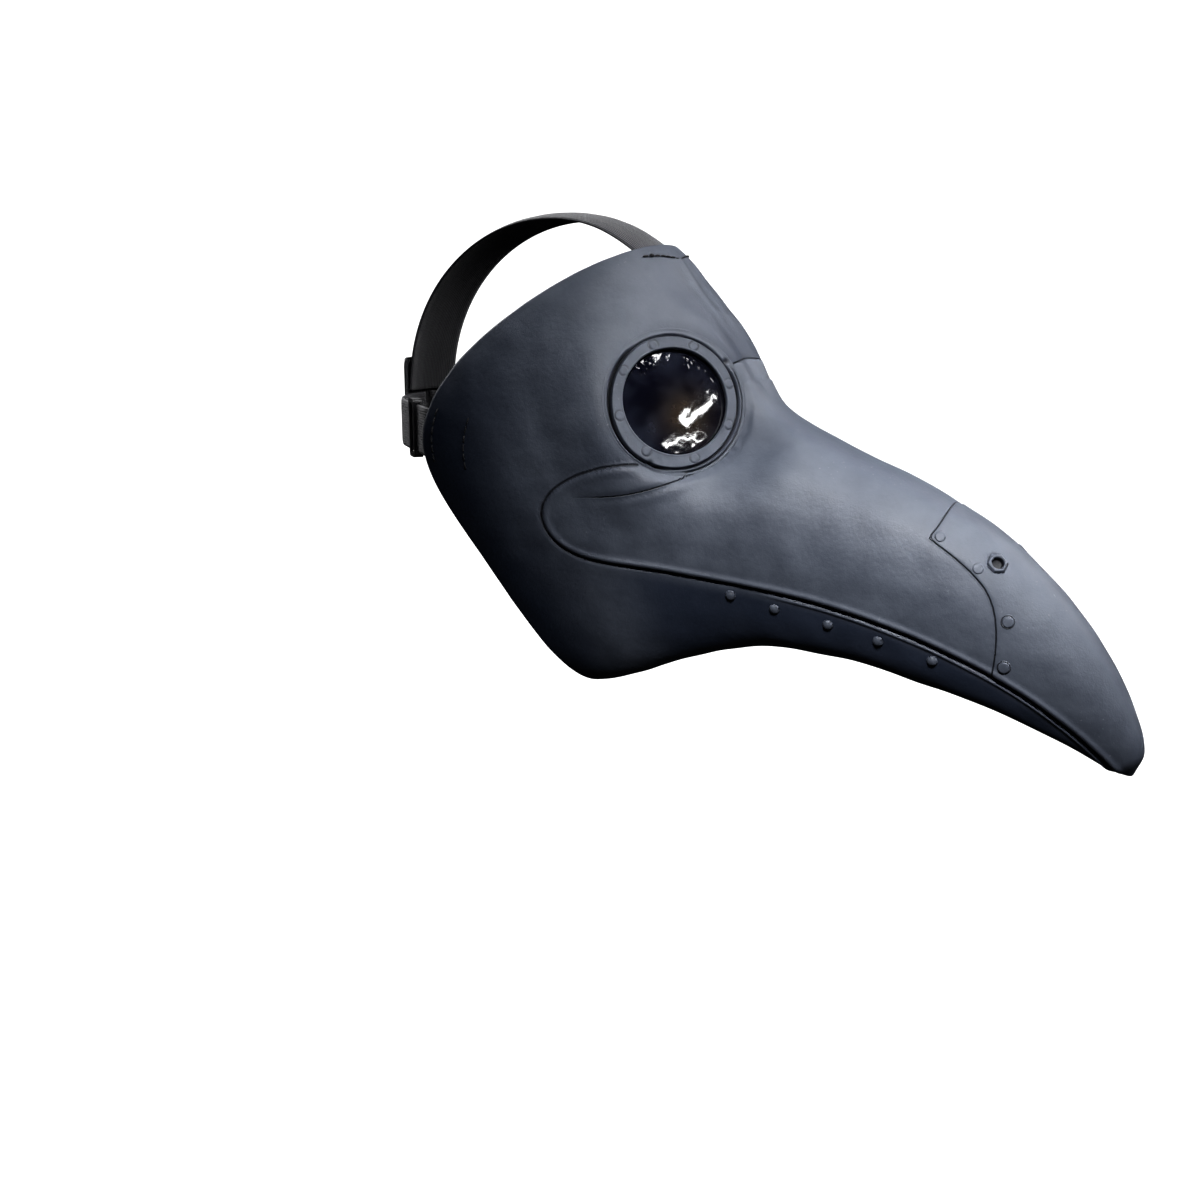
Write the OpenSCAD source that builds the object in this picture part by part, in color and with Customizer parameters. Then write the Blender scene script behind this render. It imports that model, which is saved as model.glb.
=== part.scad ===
// Plague doctor mask: one moulded latex shell with a long hooked beak, two film
// lenses glued behind moulded goggle rims, and an elastic harness over the head.
// The beak points along -Y, +Z is up, and the origin is the centre of the head.

/* [Shell] */
// Latex wall thickness
wall_t = 2.2; // [1.8:0.1:2.6]
// Diameter of the opening inside a goggle rim
eye_d = 52; // [46:1:54]
// Outer diameter of a goggle rim
rim_d = 65; // [62:1:66]
// Height of a goggle rim above the cheek
rim_h = 3.5; // [2:0.5:5]
// Width over the corners of the moulded hexagon near the beak tip
hexagon_w = 9.4; // [8:0.2:12]
// Diameter of the moulded rivet heads
rivet_d = 5; // [4:0.5:6]

/* [Lenses] */
// Diameter of a lens film
lens_d = 60; // [56:1:62]
// Thickness of a lens film
lens_t = 0.8; // [0.6:0.1:1.2]
// Forward bulge of a lens
lens_bulge = 1.6; // [0:0.2:2]

/* [Harness] */
// Width of the strap over the crown
top_strap_w = 40; // [36:1:42]
// Width of the straps round the sides
side_strap_w = 25; // [22:1:26]
// Thickness of the elastic
strap_t = 1.5; // [1.2:0.1:1.6]
// Thickness of the lining patches inside the shell
patch_t = 1; // [0.8:0.1:1.4]
// Width of the patch behind the head
rear_patch_w = 46; // [44:1:50]
// Height of the patch behind the head
rear_patch_h = 47; // [46:1:50]
// Thickness of the patch behind the head
rear_patch_t = 1.3; // [1:0.1:1.6]

/* [Sliders] */
// Length of a strap slider along its strap
slider_l = 12; // [11:0.5:13]
// Width of a slider's outer rails
slider_rail = 2.2; // [2:0.1:3]

/* [Stitching] */
// Thickness of the sewing thread
thread_d = 0.9; // [0.7:0.1:1.1]
// Length of one stitch
stitch_l = 4; // [3:0.5:4.5]

/* [Hidden] */
// stations from the open rim to the beak tip: top Y and Z, bottom Y and Z, half width,
// how far the sides sweep back, and how much of the face outline is mixed in
stations = [
  [-60, 77, -52, -141, 80, 92, 1],
  [-67, 71, -60, -139, 82, 74, 1],
  [-81, 51, -75, -133, 76, 46, 0.9],
  [-96, 29, -92, -127, 62, 20, 0.6],
  [-119, -3, -113, -121, 46, 3, 0.3],
  [-150, -18, -137, -117, 40, 0, 0],
  [-189, -32, -173, -120, 35, 0, 0],
  [-230, -51, -209, -127, 29, 0, 0],
  [-264, -78, -241, -136, 22, 0, 0],
  [-291, -112, -268, -146, 15, 0, 0],
  [-306, -143, -289, -155, 8, 0, 0],
  [-306, -159, -299, -162, 3, 0, 0]
];
tip = len(stations) - 1;

// half outlines from top centre to bottom centre: beak x and z, face x and z, sweep share
outline = [
  [0, 1, 0, 1, 0],
  [0.4, 0.97, 0.36, 0.97, 0.06],
  [0.8, 0.72, 0.73, 0.81, 0.38],
  [1, 0.3, 0.98, 0.48, 0.84],
  [1.06, -0.08, 1.08, 0.12, 1.06],
  [1.02, -0.42, 1.04, -0.22, 0.8],
  [0.93, -0.7, 0.92, -0.54, 0.52],
  [0.82, -0.88, 0.78, -0.88, 0.28],
  [0.62, -1, 0.6, -1.06, 0.08],
  [0.32, -1.03, 0.26, -1, 0],
  [0, -1.03, 0, -1, 0]
];
outline_mirror = [-1, 1, -1, 1, 1];

// the flat round seat of the right goggle, which faces out and a little up
goggle = [-42.2, -87.4, 1.5];
goggle_turn = 44;
goggle_tilt = 17;
goggle_n = [
  -sin(goggle_turn) * cos(goggle_tilt),
  -cos(goggle_turn) * cos(goggle_tilt),
  sin(goggle_tilt)
];
goggle_side = unit(cross([0, 0, 1], goggle_n));
goggle_up = cross(goggle_n, goggle_side);
seat_r = 34;
// share of the room between the seat and the middle that the seat blends out over
seat_fade = 0.7;

// rows and columns of the shell's net, finer round the goggles
rows = [each [0:0.35:1.4], each [1.65:0.25:4.4], each [4.8:0.4:10.8], tip];
side_columns = [each [0:0.4:4.8], each [5.25:0.5:9.75], 10];
columns = [each side_columns, for (j = [len(side_columns) - 2:-1:1]) -side_columns[j]];
inner_reach = 10.2 / tip;

// the head's ellipse that the straps lie on
head_x = 77.5;
head_y = 97.5;
head_z = 93;

strap_gap = 0.5;
under_mask = wall_t + strap_gap + strap_t / 2;
top_span = top_strap_w / 57;
side_centre = 3.95;
side_span = side_strap_w / 76;
side_z = -16.5;
lining_depth = wall_t + strap_gap + strap_t + 0.8 + patch_t / 2;

// the straight run of the right side strap: its start, its step and the slider's place
run_start = [-82, 33];
run_step = [8, 10];
run_angle = atan2(run_step[1], run_step[0]);
slider_xy = run_start + 2 * run_step;
slider_gap = 0.2;

rear_gap = 0.3;
rear_in = strap_t / 2 + rear_gap;
rear_z = -7.5;

dark = [0.14, 0.15, 0.19];
latex = [0.28, 0.3, 0.35];
film = [0.2, 0.16, 0.12, 0.8];
thread = [0.05, 0.05, 0.07];

function unit(a) = a / norm(a);
function smooth(t) = let (c = min(max(t, 0), 1)) c * c * (3 - 2 * c);

// cubic B-spline weights, and a row of control values read along them
function weights(f) = [
  pow(1 - f, 3),
  3 * pow(f, 3) - 6 * pow(f, 2) + 4,
  -3 * pow(f, 3) + 3 * pow(f, 2) + 3 * f + 1,
  pow(f, 3)
] / 6;
function blend(p, t) = let (i = min(floor(t), len(p) - 4))
  weights(t - i) * [for (k = [0:3]) p[i + k]];
function open_ends(p) = let (n = len(p) - 1)
  concat([2 * p[0] - p[1]], p, [2 * p[n] - p[n - 1]]);
function flip(p, signs) = [for (i = [0:len(p) - 1]) p[i] * signs[i]];
function mirrored_ends(p, signs) = let (n = len(p) - 1)
  concat([flip(p[1], signs)], p, [flip(p[n - 1], signs)]);

station_line = open_ends(stations);
outline_line = mirrored_ends(outline, outline_mirror);

// a point of the right half before the goggle seat is pressed flat
function bare_skin(u, v) =
  let (
    s = blend(station_line, u),
    q = blend(outline_line, v),
    x = (1 - s[6]) * q[0] + s[6] * q[2],
    z = (1 - s[6]) * q[1] + s[6] * q[3]
  )
  [
    -s[4] * x,
    s[0] * (1 + z) / 2 + s[2] * (1 - z) / 2 + s[5] * q[4],
    s[1] * (1 + z) / 2 + s[3] * (1 - z) / 2
  ];
function pressed(p) =
  let (
    d = p - goggle,
    h = d * goggle_n,
    across = d * goggle_side,
    up = d * goggle_up,
    r = max(norm([across, up]), seat_r),
    to_middle = (goggle_side[0] * across + goggle_up[0] * up) / r,
    room = -goggle[0] / max(to_middle, 0.1) - seat_r,
    fade = min(max(seat_fade * room, 11), 30),
    w = pow(seat_r / r, 2) * (1 - smooth((r - seat_r) / fade))
  )
  p - (abs(h) < 40 ? h * w : 0) * goggle_n;
function half_skin(u, v) = pressed(bare_skin(u, v));
function half_normal(u, v, e = 0.01) =
  let (
    du = half_skin(min(u + e, tip), v) - half_skin(max(u - e, 0), v),
    dv = half_skin(u, min(v + e, 10)) - half_skin(u, max(v - e, 0))
  )
  unit(cross(dv, du));

// the whole outer face: u runs rim to tip, v runs top to bottom, negative on the left
function to_side(p, v) = v < 0 ? [-p[0], p[1], p[2]] : p;
function skin(u, v) = to_side(half_skin(u, abs(v)), v);
function normal(u, v) = to_side(half_normal(u, abs(v)), v);
function below_skin(u, v, depth) = skin(u, v) - depth * normal(u, v);
function centre(points) = [for (p = points) 1 / len(points)] * points;

// a point on the head's ellipsoid: x across, angle a over the crown from the front
function on_head(x, a) = let (q = sqrt(1 - pow(x / head_x, 2)))
  [x, -head_y * q * cos(a), head_z * q * sin(a)];

// the shell between its outer net and its inner net, open at the rim
module shell_wall() {
  n = len(rows);
  m = len(columns);
  outer = [for (u = rows) for (v = columns) skin(u, v)];
  inner = [for (u = rows) for (v = columns) below_skin(u * inner_reach, v, wall_t)];
  outer_end = centre([for (v = columns) skin(tip, v)]);
  inner_end = centre([for (v = columns) below_skin(tip * inner_reach, v, wall_t)]);
  k = n * m;
  walls = [
    for (i = [0:n - 2])
      for (j = [0:m - 1])
        let (a = i * m + j, b = i * m + (j + 1) % m, c = b + m, d = a + m)
          each [[a, d, c], [a, c, b], [k + a, k + b, k + c], [k + a, k + c, k + d]]
  ];
  edge = [
    for (j = [0:m - 1])
      let (a = j, b = (j + 1) % m)
        each [[a, b, k + b], [a, k + b, k + a]]
  ];
  last = (n - 1) * m;
  ends = [
    for (j = [0:m - 1])
      let (a = last + j, b = last + (j + 1) % m)
        each [[b, a, 2 * k], [k + a, k + b, 2 * k + 1]]
  ];
  polyhedron(concat(outer, inner, [outer_end, inner_end]), concat(walls, edge, ends));
}

// a sheet of thickness t about a net of points
module sheet(net, t) {
  n = len(net);
  m = len(net[0]);
  side = [
    for (i = [0:n - 1])
      for (j = [0:m - 1])
        unit(cross(
          net[min(i + 1, n - 1)][j] - net[max(i - 1, 0)][j],
          net[i][min(j + 1, m - 1)] - net[i][max(j - 1, 0)]
        ))
  ];
  mid = [for (row = net) each row];
  points = concat(mid + side * t / 2, mid - side * t / 2);
  k = n * m;
  faces = [
    for (i = [0:n - 2])
      for (j = [0:m - 2])
        let (a = i * m + j, b = a + 1, c = b + m, d = a + m)
          each [[a, b, c], [a, c, d], [k + a, k + d, k + c], [k + a, k + c, k + b]]
  ];
  long_edges = [
    for (i = [0:n - 2])
      let (a = i * m, d = a + m, b = a + m - 1, c = b + m)
        each [[a, d, k + d], [a, k + d, k + a], [c, b, k + b], [c, k + b, k + c]]
  ];
  short_edges = [
    for (j = [0:m - 2])
      let (a = j, b = a + 1, d = k - m + j, c = d + 1)
        each [[b, a, k + a], [b, k + a, k + b], [d, c, k + c], [d, k + c, k + d]]
  ];
  polyhedron(points, concat(faces, long_edges, short_edges));
}

// a net smoothed along its control rows, with steps points to a row
function smooth_net(control, steps) =
  let (lines = [for (j = [0:len(control[0]) - 1]) open_ends([for (row = control) row[j]])])
  [
    for (i = [0:(len(control) - 1) * steps])
      [for (line = lines) blend(line, i / steps)]
  ];

module on_goggle() {
  translate(goggle) rotate([0, 90 - goggle_tilt, -90 - goggle_turn]) children();
}

// put a child on the outer face, its +Z along the face's normal
module on_skin(u, v) {
  n = normal(u, v);
  translate(skin(u, v)) rotate([0, acos(n[2]), atan2(n[1], n[0])]) children();
}

module both_sides() {
  children();
  mirror([1, 0, 0]) children();
}

module goggle_rim() {
  on_goggle() rotate_extrude($fn = 96) polygon([
    [eye_d / 2, -wall_t / 2],
    [rim_d / 2, -wall_t / 2],
    [rim_d / 2, rim_h - 1],
    [rim_d / 2 - 0.4, rim_h - 0.3],
    [rim_d / 2 - 1, rim_h],
    [eye_d / 2 + 0.8, rim_h],
    [eye_d / 2 + 0.2, rim_h - 0.3],
    [eye_d / 2, rim_h - 0.8]
  ]);
}

module rivet_head(d = rivet_d, h = 0.9) {
  translate([0, 0, -0.8]) cylinder(d1 = d, d2 = d - 1, h = h + 0.8, $fn = 24);
}

module mask_shell() {
  goggle_rivets = [-167, -124, -75, -25, 16, 67, 108, 148];
  tip_rivets = [[6.7, 1.85], [7.2, 2.05], [7.75, 2.8], [7.95, 4.25]];
  jaw_rivets = [[4.3, 5.2], [5, 5.35], [5.75, 5.45], [6.4, 5.5], [7.1, 5.45]];
  color(latex) difference() {
    union() {
      shell_wall();
      both_sides() {
        goggle_rim();
        for (a = goggle_rivets)
          on_goggle() rotate(90 + a) translate([29.5, 0, rim_h]) rivet_head(4, 0.4);
        for (p = concat(tip_rivets, jaw_rivets))
          on_skin(p[0], p[1]) rivet_head();
        on_skin(7.35, 1.55) translate([0, 0, -0.8]) cylinder(d = hexagon_w, h = 2.6, $fn = 6);
      }
    }
    both_sides() {
      on_goggle() translate([0, 0, -8]) cylinder(d = eye_d, h = 20, $fn = 96);
      on_goggle() translate([0, 0, -wall_t - 6]) cylinder(d = lens_d + 7, h = 6, $fn = 96);
      on_skin(7.35, 1.55) translate([0, 0, -0.6]) cylinder(d = 5.4, h = 4, $fn = 32);
    }
  }
}

module lens() {
  r = lens_d / 2;
  flat = eye_d / 2;
  z = -wall_t - 0.05;
  bulge = [for (i = [0:8]) [flat * i / 8, lens_bulge * (1 - pow(i / 8, 2))]];
  upper = [for (p = bulge) [p[0], z + p[1]]];
  lower = [for (i = [8:-1:0]) [bulge[i][0], z - lens_t + bulge[i][1]]];
  color(film) on_goggle() rotate_extrude($fn = 96)
    polygon(concat(upper, [[r, z], [r, z - lens_t]], lower));
}
module right_lens() { lens(); }
module left_lens() { mirror([1, 0, 0]) lens(); }

module lens_bead() {
  r = lens_d / 2;
  z = -wall_t - 0.05;
  color(dark) on_goggle() rotate_extrude($fn = 96) polygon([
    [r + 0.05, z],
    [r + 3, z],
    [r + 2.5, z - 1],
    [r + 1, z - 1.9],
    [r - 1.2, z - 1.7],
    [r - 2, z - lens_t - 0.05],
    [r + 0.05, z - lens_t - 0.05]
  ]);
}
module right_lens_bead() { lens_bead(); }
module left_lens_bead() { mirror([1, 0, 0]) lens_bead(); }

// a lining patch inside the shell, between two rows and two columns of its net
module lining(u0, u1, v0, v1, across) {
  net = [
    for (i = [0:6])
      [
        for (j = [0:across])
          below_skin(u0 + (u1 - u0) * i / 6, v0 + (v1 - v0) * j / across, lining_depth)
      ]
  ];
  color(dark) sheet(net, patch_t);
}
module forehead_patch() { lining(0.15, 1.5, -0.9, 0.9, 10); }
module right_temple_patch() { lining(0.15, 1.25, 3.5, 4.4, 6); }
module left_temple_patch() { lining(0.15, 1.25, -4.4, -3.5, 6); }

module forehead_stitching() {
  color(thread) {
    for (i = [-4:4])
      on_skin(0.55, i * 0.17) cube([thread_d, stitch_l, thread_d], center = true);
    on_skin(0.62, 0.66) sphere(r = 1.2, $fn = 24);
  }
}

module temple_stitching() {
  color(thread)
    for (u = [0.25, 0.95])
      for (i = [-2.5:2.5])
        on_skin(u, side_centre + i * 0.12) cube([3.6, thread_d, thread_d], center = true);
}
module right_temple_stitching() { temple_stitching(); }
module left_temple_stitching() { mirror([1, 0, 0]) temple_stitching(); }

module top_strap() {
  across = [-1, -0.65, -0.3, 0, 0.3, 0.65, 1];
  control = concat(
    [for (u = [1.4, 0.7, 0]) [for (f = across) below_skin(u, -f * top_span, under_mask)]],
    [
      for (a = [each [70:14:168], 181.5])
        [for (f = across) on_head(f * top_strap_w / 2, a)]
    ]
  );
  color(dark) sheet(smooth_net(control, 4), strap_t);
}

// rows of the right side strap: inside the shell, straight past the ear, round the back
side_heights = [-0.5, 0, 0.5];
side_control = concat(
  [
    for (u = [1.1, 0.55, 0.02])
      [for (f = side_heights) below_skin(u, side_centre - 2 * f * side_span, under_mask)]
  ],
  [
    for (k = [0:4])
      let (p = run_start + (k + 0.25) * run_step)
        [for (f = side_heights) [p[0], p[1], side_z + f * side_strap_w]]
  ],
  [
    for (a = [57, 67, 77, 88])
      [for (f = side_heights) [-head_x * cos(a), head_y * sin(a), side_z + f * side_strap_w]]
  ]
);

module side_strap() {
  color(dark) sheet(smooth_net(side_control, 3), strap_t);
}
module right_side_strap() { side_strap(); }
module left_side_strap() { mirror([1, 0, 0]) side_strap(); }

// a three-bar slider: two bars outside the strap, one bar inside, joined by rails
module slider() {
  clear_y = strap_t / 2 + slider_gap;
  inside_w = side_strap_w + 0.8;
  outside_w = inside_w + 2 * slider_rail;
  rail_y = 2 * clear_y + 2.8;
  color([0.08, 0.08, 0.09])
    translate([slider_xy[0], slider_xy[1], side_z]) rotate(run_angle)
      intersection() {
        union() {
          for (s = [-1, 1]) {
            translate([-slider_l / 2, -clear_y - 1.4, s > 0 ? inside_w / 2 : -outside_w / 2])
              cube([slider_l, rail_y, slider_rail]);
            translate([s * (slider_l / 2 - 1.2) - 1.2, clear_y, -outside_w / 2])
              cube([2.4, 1.4, outside_w]);
          }
          translate([-1.3, -clear_y - 1.4, -outside_w / 2]) cube([2.6, 1.4, outside_w]);
        }
        rotate([90, 0, 0]) rounded_plate(slider_l, outside_w, 2, 12);
      }
}
module right_slider() { slider(); }
module left_slider() { mirror([1, 0, 0]) slider(); }

// a plate with round corners, centred, w by l in its own plane
module rounded_plate(w, l, r, t) {
  translate([0, 0, -t / 2]) linear_extrude(t) {
    square([w - 2 * r, l], center = true);
    square([w, l - 2 * r], center = true);
    for (x = [-1, 1])
      for (y = [-1, 1])
        translate([x * (w / 2 - r), y * (l / 2 - r)]) circle(r = r, $fn = 32);
  }
}

function rear_y(x, depth) = (head_y + depth) * sqrt(1 - pow(x / (head_x + depth), 2));

module rear_patch() {
  reach = rear_patch_w / 2 + 2;
  xs = [for (i = [-8:8]) reach * i / 8];
  inside = [for (x = xs) [x, rear_y(x, rear_in)]];
  outside = [for (i = [16:-1:0]) [xs[i], rear_y(xs[i], rear_in + rear_patch_t)]];
  color(dark) intersection() {
    translate([0, 0, rear_z - 30]) linear_extrude(60) polygon(concat(inside, outside));
    translate([0, head_y, rear_z]) rotate([90, 0, 0])
      rounded_plate(rear_patch_w, rear_patch_h, 5, 60);
  }
}

module rear_stitch(x, z, upright) {
  y = rear_y(x, rear_in + rear_patch_t);
  slope = atan2(rear_y(x + 1, rear_in) - rear_y(x - 1, rear_in), 2);
  size = upright ? [thread_d, thread_d, stitch_l - 0.4] : [stitch_l - 0.4, thread_d, thread_d];
  translate([x, y, z]) rotate(slope) cube(size, center = true);
}

module rear_stitching() {
  half_w = rear_patch_w / 2 - 3.5;
  color(thread) {
    for (z = [rear_z - 20, rear_z + 6, rear_z + 20])
      for (i = [-3:3]) rear_stitch(i * 5, z, false);
    for (x = [-half_w, half_w])
      for (i = [-3:3]) rear_stitch(x, rear_z + i * 5, true);
  }
}

mask_shell();
right_lens();
left_lens();
right_lens_bead();
left_lens_bead();
forehead_patch();
right_temple_patch();
left_temple_patch();
forehead_stitching();
right_temple_stitching();
left_temple_stitching();
top_strap();
right_side_strap();
left_side_strap();
right_slider();
left_slider();
rear_patch();
rear_stitching();
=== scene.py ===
import math
import bpy
import numpy as np
from mathutils import Matrix, Vector


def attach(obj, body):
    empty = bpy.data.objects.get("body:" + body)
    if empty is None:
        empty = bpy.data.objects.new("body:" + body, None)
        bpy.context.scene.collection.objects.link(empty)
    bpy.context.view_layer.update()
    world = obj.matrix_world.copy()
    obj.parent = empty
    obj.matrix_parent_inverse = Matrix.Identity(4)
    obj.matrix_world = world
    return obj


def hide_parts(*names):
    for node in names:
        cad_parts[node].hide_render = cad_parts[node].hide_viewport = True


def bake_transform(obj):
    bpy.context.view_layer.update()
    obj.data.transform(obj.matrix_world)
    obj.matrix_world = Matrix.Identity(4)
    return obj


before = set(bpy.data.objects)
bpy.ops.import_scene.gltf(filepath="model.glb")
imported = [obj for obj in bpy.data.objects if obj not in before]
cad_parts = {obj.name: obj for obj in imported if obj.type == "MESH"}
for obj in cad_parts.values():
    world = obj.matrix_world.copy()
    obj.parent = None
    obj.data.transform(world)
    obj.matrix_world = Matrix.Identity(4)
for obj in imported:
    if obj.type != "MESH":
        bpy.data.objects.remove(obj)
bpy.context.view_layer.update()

mm = 0.001
fullTurn = 2 * math.pi


# camera: a little in front of the right ear's side, looking down at the beak
cameraView = {
    "place": (-0.637, -0.414, 0.060),
    "turn": 58.2,   # degrees from straight ahead
    "dip": 13.0,
    "lens": 42.0,
}


def makeCamera(p):
    data = bpy.data.cameras.new("viewCamera")
    data.lens = p["lens"]
    data.sensor_width = 36
    data.clip_start = 0.01
    cam = bpy.data.objects.new("viewCamera", data)
    bpy.context.collection.objects.link(cam)
    turn, dip = math.radians(p["turn"]), math.radians(p["dip"])
    look = Vector((math.sin(turn) * math.cos(dip), math.cos(turn) * math.cos(dip), -math.sin(dip)))
    cam.location = p["place"]
    cam.rotation_euler = look.to_track_quat("-Z", "Y").to_euler()
    bpy.context.scene.camera = cam


makeCamera(cameraView)


# the moulded form in millimetres, on the same net as the solid shell
maskForm = {
    # rim to beak tip: top Y, Z, bottom Y, Z, half width, side sweep, face share
    "stations": [
        (-60, 77, -52, -141, 80, 92, 1), (-67, 71, -60, -139, 82, 74, 1),
        (-81, 51, -75, -133, 76, 46, 0.9), (-96, 29, -92, -127, 62, 20, 0.6),
        (-119, -3, -113, -121, 46, 3, 0.3), (-150, -18, -137, -117, 40, 0, 0),
        (-189, -32, -173, -120, 35, 0, 0), (-230, -51, -209, -127, 29, 0, 0),
        (-264, -78, -241, -136, 22, 0, 0), (-291, -112, -268, -146, 15, 0, 0),
        (-306, -143, -289, -155, 8, 0, 0), (-306, -159, -299, -162, 3, 0, 0),
    ],
    # top centre to bottom centre: beak x, z, face x, z, sweep share
    "outline": [
        (0, 1, 0, 1, 0), (0.4, 0.97, 0.36, 0.97, 0.06), (0.8, 0.72, 0.73, 0.81, 0.38),
        (1, 0.3, 0.98, 0.48, 0.84), (1.06, -0.08, 1.08, 0.12, 1.06),
        (1.02, -0.42, 1.04, -0.22, 0.8), (0.93, -0.7, 0.92, -0.54, 0.52),
        (0.82, -0.88, 0.78, -0.88, 0.28), (0.62, -1, 0.6, -1.06, 0.08),
        (0.32, -1.03, 0.26, -1, 0), (0, -1.03, 0, -1, 0),
    ],
    "goggle": (-42.2, -87.4, 1.5),
    "goggleTurn": 44,    # degrees out from straight ahead
    "goggleTilt": 17,
    "seatRadius": 36.4,  # the skin is pressed flat inside this circle
    "seatFade": 0.7,     # share of the room to the middle that the blend takes
    "fadeRange": (11, 30),
    "pressDepth": 40,    # skin further than this from the goggle's plane stays
    "wall": 2.2,
    "innerReach": 10.2 / 11,
}


def unit(v):
    return v / np.linalg.norm(v, axis=-1, keepdims=True)


def turnsOf(count):
    return np.linspace(0, fullTurn, count + 1)[:-1]


tipRow = len(maskForm["stations"]) - 1
goggleCentre = np.array(maskForm["goggle"], float)
turnAngle, tiltAngle = math.radians(maskForm["goggleTurn"]), math.radians(maskForm["goggleTilt"])
goggleNormal = np.array([
    -math.sin(turnAngle) * math.cos(tiltAngle),
    -math.cos(turnAngle) * math.cos(tiltAngle),
    math.sin(tiltAngle),
])
goggleSide = unit(np.cross([0, 0, 1], goggleNormal))  # toward the beak
goggleUp = np.cross(goggleNormal, goggleSide)


def smoothStep(t):
    t = np.clip(t, 0, 1)
    return t * t * (3 - 2 * t)


def bump(t):
    return np.exp(-t * t)


def readSpline(rows, t):
    # rows already carry one extra row at each end
    t = np.asarray(t, float)
    i = np.clip(np.floor(t).astype(int), 0, len(rows) - 4)
    f = t - i
    w = np.stack([(1 - f) ** 3, 3 * f**3 - 6 * f**2 + 4, -3 * f**3 + 3 * f**2 + 3 * f + 1, f**3], -1) / 6
    return sum(w[..., k, None] * rows[i + k] for k in range(4))


def openEnds(rows):
    rows = np.asarray(rows, float)
    return np.concatenate([[2 * rows[0] - rows[1]], rows, [2 * rows[-1] - rows[-2]]])


def mirroredEnds(rows, signs):
    rows = np.asarray(rows, float)
    return np.concatenate([[rows[1] * signs], rows, [rows[-2] * signs]])


stationRows = openEnds(maskForm["stations"])
outlineRows = mirroredEnds(maskForm["outline"], np.array([-1, 1, -1, 1, 1]))


def plainSkin(u, v):
    u, v = np.broadcast_arrays(np.asarray(u, float), np.asarray(v, float))
    s, q = readSpline(stationRows, u), readSpline(outlineRows, v)
    share = s[..., 6]
    x = (1 - share) * q[..., 0] + share * q[..., 2]
    z = (1 - share) * q[..., 1] + share * q[..., 3]
    y = s[..., 0] * (1 + z) / 2 + s[..., 2] * (1 - z) / 2 + s[..., 5] * q[..., 4]
    return np.stack([-s[..., 4] * x, y, s[..., 1] * (1 + z) / 2 + s[..., 3] * (1 - z) / 2], -1)


def goggleReach(p):
    d = p - goggleCentre
    height = d @ goggleNormal
    across, up = d @ goggleSide, d @ goggleUp
    return height, np.hypot(across, up), np.arctan2(up, across)


def halfSkin(u, v):
    # pressed flat under the goggle, and blended out as far as the middle leaves room
    p = plainSkin(u, v)
    height, radius, angle = goggleReach(p)
    seat = maskForm["seatRadius"]
    toMiddle = goggleSide[0] * np.cos(angle) + goggleUp[0] * np.sin(angle)
    room = -goggleCentre[0] / np.maximum(toMiddle, 0.1) - seat
    fade = np.clip(maskForm["seatFade"] * room, *maskForm["fadeRange"])
    press = (seat / np.maximum(radius, seat)) ** 2 * (1 - smoothStep((radius - seat) / fade))
    press = np.where(np.abs(height) < maskForm["pressDepth"], press, 0)
    return p - (height * press)[..., None] * goggleNormal


def halfNormal(u, v, e=0.01):
    along = halfSkin(np.minimum(u + e, tipRow), v) - halfSkin(np.maximum(u - e, 0), v)
    down = halfSkin(u, np.minimum(v + e, 10)) - halfSkin(u, np.maximum(v - e, 0))
    return unit(np.cross(down, along))


def skinPoint(u, v, depth=0.0):
    # v is negative on the wearer's left; depth goes in from the outer face
    u, v = np.broadcast_arrays(np.asarray(u, float), np.asarray(v, float))
    n = halfNormal(u, np.abs(v))
    p = halfSkin(u, np.abs(v)) - depth * n
    flip = np.where(v < 0, -1.0, 1.0)
    p[..., 0] *= flip
    n[..., 0] *= flip
    return p, n


def makePiece(name, points, faces, body, nodes, material):
    mesh = bpy.data.meshes.new(name)
    mesh.from_pydata([tuple(p) for p in np.asarray(points) * mm], [], [tuple(f) for f in faces])
    mesh.update()
    mesh.polygons.foreach_set("use_smooth", [True] * len(mesh.polygons))
    mesh.materials.append(material)
    piece = bpy.data.objects.new(name, mesh)
    bpy.context.collection.objects.link(piece)
    if body:
        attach(piece, body)
    if nodes:
        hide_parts(*nodes)
    return piece


def addField(piece, name, values):
    field = piece.data.attributes.new(name, "FLOAT", "POINT")
    field.data.foreach_set("value", np.asarray(values, np.float32).ravel())


def addUv(piece, values):
    # one pair of values for each point, in millimetres of flat cloth
    layer = piece.data.uv_layers.new(name="UVMap")
    corner = np.zeros(len(piece.data.loops), int)
    piece.data.loops.foreach_get("vertex_index", corner)
    layer.data.foreach_set("uv", np.asarray(values, np.float32)[corner].ravel())


def gridFaces(rows, columns, first=0, flip=False):
    # a tube of quads: each row of points is a closed ring
    i, j = np.meshgrid(np.arange(rows - 1), np.arange(columns), indexing="ij")
    k = (j + 1) % columns
    a, b = first + i * columns + j, first + i * columns + k
    c, d = b + columns, a + columns
    quads = np.stack([a, d, c, b] if flip else [a, b, c, d], -1).reshape(-1, 4)
    return quads.tolist()


def endFaces(rows, columns, flip=False):
    # closes the first and the last ring of a grid
    first, last = list(range(columns)), list(range((rows - 1) * columns, rows * columns))
    return [first, last[::-1]] if flip else [first[::-1], last]


def joinedRuns(stops, counts):
    # even steps from stop to stop, as many as each count says
    runs = [np.linspace(a, b, n + 1)[:-1] for a, b, n in zip(stops[:-1], stops[1:], counts)]
    return np.concatenate(runs + [stops[-1:]])


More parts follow.
